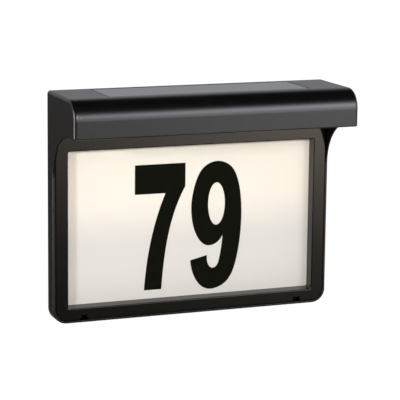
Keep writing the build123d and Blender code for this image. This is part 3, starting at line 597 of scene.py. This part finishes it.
def rounded_loop(half_x, half_y, radius, steps=8):
    """Points and outward normals of a rounded rectangle.

    Each point is its corner's centre + radius x (cos a, sin a), and (cos a, sin a) is its normal.
    """
    a = np.concatenate([np.linspace(q, q + 1, steps) for q in range(4)]) * np.pi / 2
    normal = np.stack([np.cos(a), np.sin(a)], axis=-1)
    sign_x = np.repeat([1, -1, -1, 1], steps)
    sign_y = np.repeat([1, 1, -1, -1], steps)
    centre = np.stack([sign_x * (half_x - radius), sign_y * (half_y - radius)], axis=-1)
    return centre + radius * normal, normal


def bead_grid(path, normal, middle, width, height, level, sides=12):
    """A closed tube: path + normal x width / 2 x cos b, raised by height x sin b over the level."""
    b = np.arange(sides) * 2 * np.pi / sides
    flat = path[:, None, :] + normal[:, None, :] * (0.5 * width * np.cos(b))[None, :, None]
    rise = np.broadcast_to((level + height * np.sin(b))[None, :, None], (len(path), sides, 1))
    points = np.concatenate([flat + np.array(middle), rise], axis=-1).reshape(-1, 3)
    i, j = np.meshgrid(np.arange(len(path)), np.arange(sides), indexing="ij")
    i2, j2 = (i + 1) % len(path), (j + 1) % sides
    quads = np.stack([i * sides + j, i2 * sides + j, i2 * sides + j2, i * sides + j2], axis=-1)
    return points, quads.reshape(-1, 4).tolist()


print("points of the path", len(rounded_loop(1, 1, 0.1)[0]))

# %% Bead of sealant
bead_inset, bead_corner = 0.0002, 0.0013  # from the cover's rim to the bead's middle; its corners
bead_width, bead_height = 0.0011, 0.00009
glazing_low, glazing_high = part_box("solar_glazing")
glazing_half = ((glazing_high.x - glazing_low.x) / 2, (glazing_high.y - glazing_low.y) / 2)
glazing_middle = ((glazing_high.x + glazing_low.x) / 2, (glazing_high.y + glazing_low.y) / 2)
loop, loop_normal = rounded_loop(glazing_half[0] - bead_inset, glazing_half[1] - bead_inset,
                                 bead_corner)
bead_points, bead_faces = bead_grid(loop, loop_normal, glazing_middle, bead_width, bead_height,
                                    glazing_high.z)
surface_piece("solar_sealant_bead", bead_points, bead_faces, sealant, "sign")

# %% [markdown]
# ## Studio floor
# The sign hangs on a wall, so the ground lies far below it. The near square sends up the light that
# a pale floor would, and the camera doesn't see it, so that it never hides the sign from a camera
# that looks up from below. The far square, lower still, is the floor that the camera sees. It glows
# a little, so that it stays as pale as a long studio sweep, and it lights nothing.

# %% Pale floor
floor_level, sight_floor_drop = -1.5, 0.9
corners = np.array([(-1, -1), (1, -1), (1, 1), (-1, 1)])
floor_paint = make_finish("floor_paint", (0.8, 0.8, 0.79), 0.7)
vary_colour(floor_paint, (0.78, 0.78, 0.77), (0.82, 0.82, 0.81), 3.0)
far_paint = make_finish("far_paint", (0.03, 0.03, 0.03), 0.8,
                        Emission_Color=(1.0, 1.0, 1.0, 1), Emission_Strength=0.99)
vary_colour(far_paint, (0.028, 0.028, 0.028), (0.032, 0.032, 0.032), 3.0)


def floor_square(name, half_size, level, paint, unseen_by):
    """A level square of floor, hidden from the kinds of ray in unseen_by."""
    mesh = bpy.data.meshes.new(name)
    points = np.column_stack([corners * half_size, np.full(4, level)])
    mesh.from_pydata(points.tolist(), [], [(0, 1, 2, 3)])
    mesh.materials.append(paint)
    square = bpy.data.objects.new(name, mesh)
    bpy.context.scene.collection.objects.link(square)
    for ray in unseen_by:
        setattr(square, "visible_" + ray, False)
    print(name, "at", level, "m")


floor_square("studio_floor", 3.0, floor_level, floor_paint, ("camera", "glossy"))
floor_square("studio_floor_far", 60.0, floor_level - sight_floor_drop, far_paint,
             ("diffuse", "glossy", "transmission", "shadow"))

# %% [markdown]
# ## Surroundings
# Black plastic shows little but what it mirrors, so the surroundings shape the sign as much as the
# lamps do. A studio full of pale and dark cards could stand round it. Here brightness is a function
# of direction alone, which gives the same reflections from any side: pale in front, with a brighter
# side and a dark foot, dimmer behind, and dark overhead. The camera and the clear lens see plain
# white instead.

# %% Helpers for values
world = bpy.data.worlds.new("studio_surroundings")
bpy.context.scene.world = world
world.use_nodes = True
world.node_tree.nodes.clear()


def blend_values(share, first, second):
    """The first value where the share is 0, the second where it is 1."""
    mix = add_node(world, "ShaderNodeMix")
    for index, source in ((0, share), (2, first), (3, second)):
        feed(world, source, mix.inputs[index])
    return mix.outputs[0]


def sky_step(source, low, high, at_low, at_high):
    """Runs smoothly from at_low to at_high while the source goes from low to high."""
    return smooth_step(world, source, (low, high), (at_low, at_high))


def sky_times(first, second):
    """The product of two values."""
    return combine(world, "MULTIPLY", first, second)


print("made", world.name)

# %% Brightness by direction
sky_axes = add_node(world, "ShaderNodeSeparateXYZ")
feed(world, add_node(world, "ShaderNodeTexCoord").outputs["Generated"], sky_axes.inputs[0])
along, away, upward = (sky_axes.outputs[axis] for axis in "XYZ")

front_foot = sky_step(upward, -0.214, -0.135, 0.09, 1.72)  # dark below the level, pale above
front_head = sky_step(upward, 0.38, 0.62, 1.0, 0.0)  # dark overhead
front_side = sky_step(along, 0.20, 0.50, 0.30, 2.20)  # brighter towards the right
front_edge = sky_step(along, 0.47, 0.66, 1.0, 0.25)  # but not at the far right
front = sky_times(sky_times(front_foot, front_head), sky_times(front_side, front_edge))

back_low = combine(world, "MAXIMUM", sky_step(along, -0.12, 0.10, 0.08, 0.40),
                   sky_step(along, -0.75, -0.55, 0.40, 0.08))  # a dark patch low on the left
back_foot = blend_values(sky_step(upward, -0.15, 0.12, 0.0, 1.0), back_low, 0.46)
back = sky_times(back_foot, sky_step(upward, 0.50, 0.80, 1.0, 0.0))  # dark overhead

brightness = blend_values(sky_step(away, -0.3, 0.3, 0.0, 1.0), front, back)  # front to back
print("nodes for brightness", len(world.node_tree.nodes))

# %% Tone, and plain white for the camera
sky_tone = colour_ramp(world, sky_step(upward, -0.14, -0.09, 0.0, 1.0),
                       [(0.0, (1.0, 0.90, 0.80)), (1.0, (0.95, 0.97, 1.03))])
studio_sky = add_node(world, "ShaderNodeBackground")
feed(world, sky_tone, studio_sky.inputs["Color"])
feed(world, brightness, studio_sky.inputs["Strength"])
white_sky = add_node(world, "ShaderNodeBackground", Color=(1, 1, 1, 1))

paths = add_node(world, "ShaderNodeLightPath").outputs
seen = combine(world, "MAXIMUM", paths["Is Camera Ray"], paths["Is Transmission Ray"])
choice = add_node(world, "ShaderNodeMixShader")
for index, source in enumerate((seen, studio_sky.outputs[0], white_sky.outputs[0])):
    feed(world, source, choice.inputs[index])
feed(world, choice.outputs[0], add_node(world, "ShaderNodeOutputWorld").inputs["Surface"])
print("nodes of the surroundings", len(world.node_tree.nodes))

# %% [markdown]
# ## Soft boxes
# A photographer lights glossy black and a pale panel separately, because what flatters one spoils
# the other. Cards and grids would keep the lights apart. In Blender a light can simply be unseen by
# one kind of ray: the hood's box makes only the bright band on its curve, and the left and the roof
# box light only the matt parts. The panel's box is warm, and the side box draws the left side out
# of the black.

# %% Soft boxes
box_target, box_distance = Vector((0, -0.04, -0.05)), 2.4


def soft_box(name, azimuth, elevation, width, height, energy, colour, unseen_by=()):
    """An area light that faces the sign from a direction in degrees; azimuth 0 is the front.

    place = target + distance x (sin a cos e, -cos a cos e, sin e).
    """
    a, e = math.radians(azimuth), math.radians(elevation)
    way = Vector((math.sin(a) * math.cos(e), -math.cos(a) * math.cos(e), math.sin(e)))
    lamp = bpy.data.lights.new(name, "AREA")
    lamp.shape, lamp.size, lamp.size_y = "RECTANGLE", width, height
    lamp.energy, lamp.color = energy, colour
    box = bpy.data.objects.new(name, lamp)
    box.location = box_target + box_distance * way
    box.rotation_euler = (box_target - box.location).to_track_quat("-Z", "Y").to_euler()
    bpy.context.scene.collection.objects.link(box)
    for ray in unseen_by:
        setattr(box, "visible_" + ray, False)
    print(name, energy, "W")


soft_box("hood_box", 30, 16, 1.2, 0.7, 8.0, (0.96, 0.98, 1.0), ("diffuse",))
soft_box("panel_box", -2, 16.5, 0.7, 0.2, 21.0, (1.0, 0.94, 0.85))
soft_box("left_box", -51, 14, 0.35, 0.25, 23.0, (0.88, 0.95, 1.0), ("glossy",))
soft_box("side_box", -96, 4, 0.8, 1.4, 40.0, (1.0, 0.98, 0.95))
soft_box("roof_box", 180, 72, 1.6, 1.2, 30.0, (1.0, 1.0, 1.0), ("glossy",))

# %% [markdown]
# ## The sign's own light
# Six lamps behind the lens wash the panel from above. One strip light, just below the lens and as
# long as the row of lamps, stands for them all: its light falls the same way and renders without
# noise. It is weak, because daylight outshines it.

# %% Strip light under the lens
strip_length, strip_width, strip_drop = 0.186, 0.010, 0.0005
strip = bpy.data.lights.new("hood_strip", "AREA")
strip.shape, strip.size, strip.size_y = "RECTANGLE", strip_length, strip_width
strip.energy, strip.color = 0.0015, (1.0, 0.83, 0.6)
strip_lamp = bpy.data.objects.new("hood_strip", strip)
lens_low, lens_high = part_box("lamp_lens")
strip_lamp.location = ((lens_low.x + lens_high.x) / 2, (lens_low.y + lens_high.y) / 2,
                       lens_low.z - strip_drop)
strip_lamp.visible_camera = False
strip_lamp.visible_glossy = False
bpy.context.scene.collection.objects.link(strip_lamp)
print("strip light at", in_millimetres(strip_lamp.location), "mm")

# %% [markdown]
# ## Camera
# The camera stands left of the sign and a little above it, with a long lens. It could be placed by
# eye, but the sign's straight edges in the photo fix it: a pinhole camera was fitted to them, and
# these are its yaw, lift, roll, distance and focal length. It looks at a point near the sign's
# middle, counted from its foot along the camera's own right and up.

# %% Camera
yaw, lift, roll = math.radians(-21.75), math.radians(10.89), math.radians(0.63)
camera_distance, focal_length = 1.72614, 172.52
aim_right, aim_up = 0.01202, 0.09824
to_camera = Vector((math.sin(yaw) * math.cos(lift), -math.cos(yaw) * math.cos(lift),
                    math.sin(lift)))
level_right = Vector((math.cos(yaw), math.sin(yaw), 0))
level_up = to_camera.cross(level_right)
right = math.cos(roll) * level_right + math.sin(roll) * level_up
up = -math.sin(roll) * level_right + math.cos(roll) * level_up
aim = Vector((0, 0, cad_bounds[0][2])) + right * aim_right + up * aim_up
print("camera looks at", in_millimetres(aim), "mm")

# %% Camera in its place
lens = bpy.data.cameras.new("front_camera")
lens.sensor_width = 36.0
lens.lens = focal_length
camera = bpy.data.objects.new("front_camera", lens)
turn = Matrix((right, up, to_camera)).transposed().to_4x4()
camera.matrix_world = Matrix.Translation(aim + to_camera * camera_distance) @ turn
bpy.context.scene.collection.objects.link(camera)
bpy.context.scene.camera = camera
bpy.context.scene.view_settings.view_transform = "Standard"
print("camera at", in_millimetres(camera.matrix_world.translation), "mm")
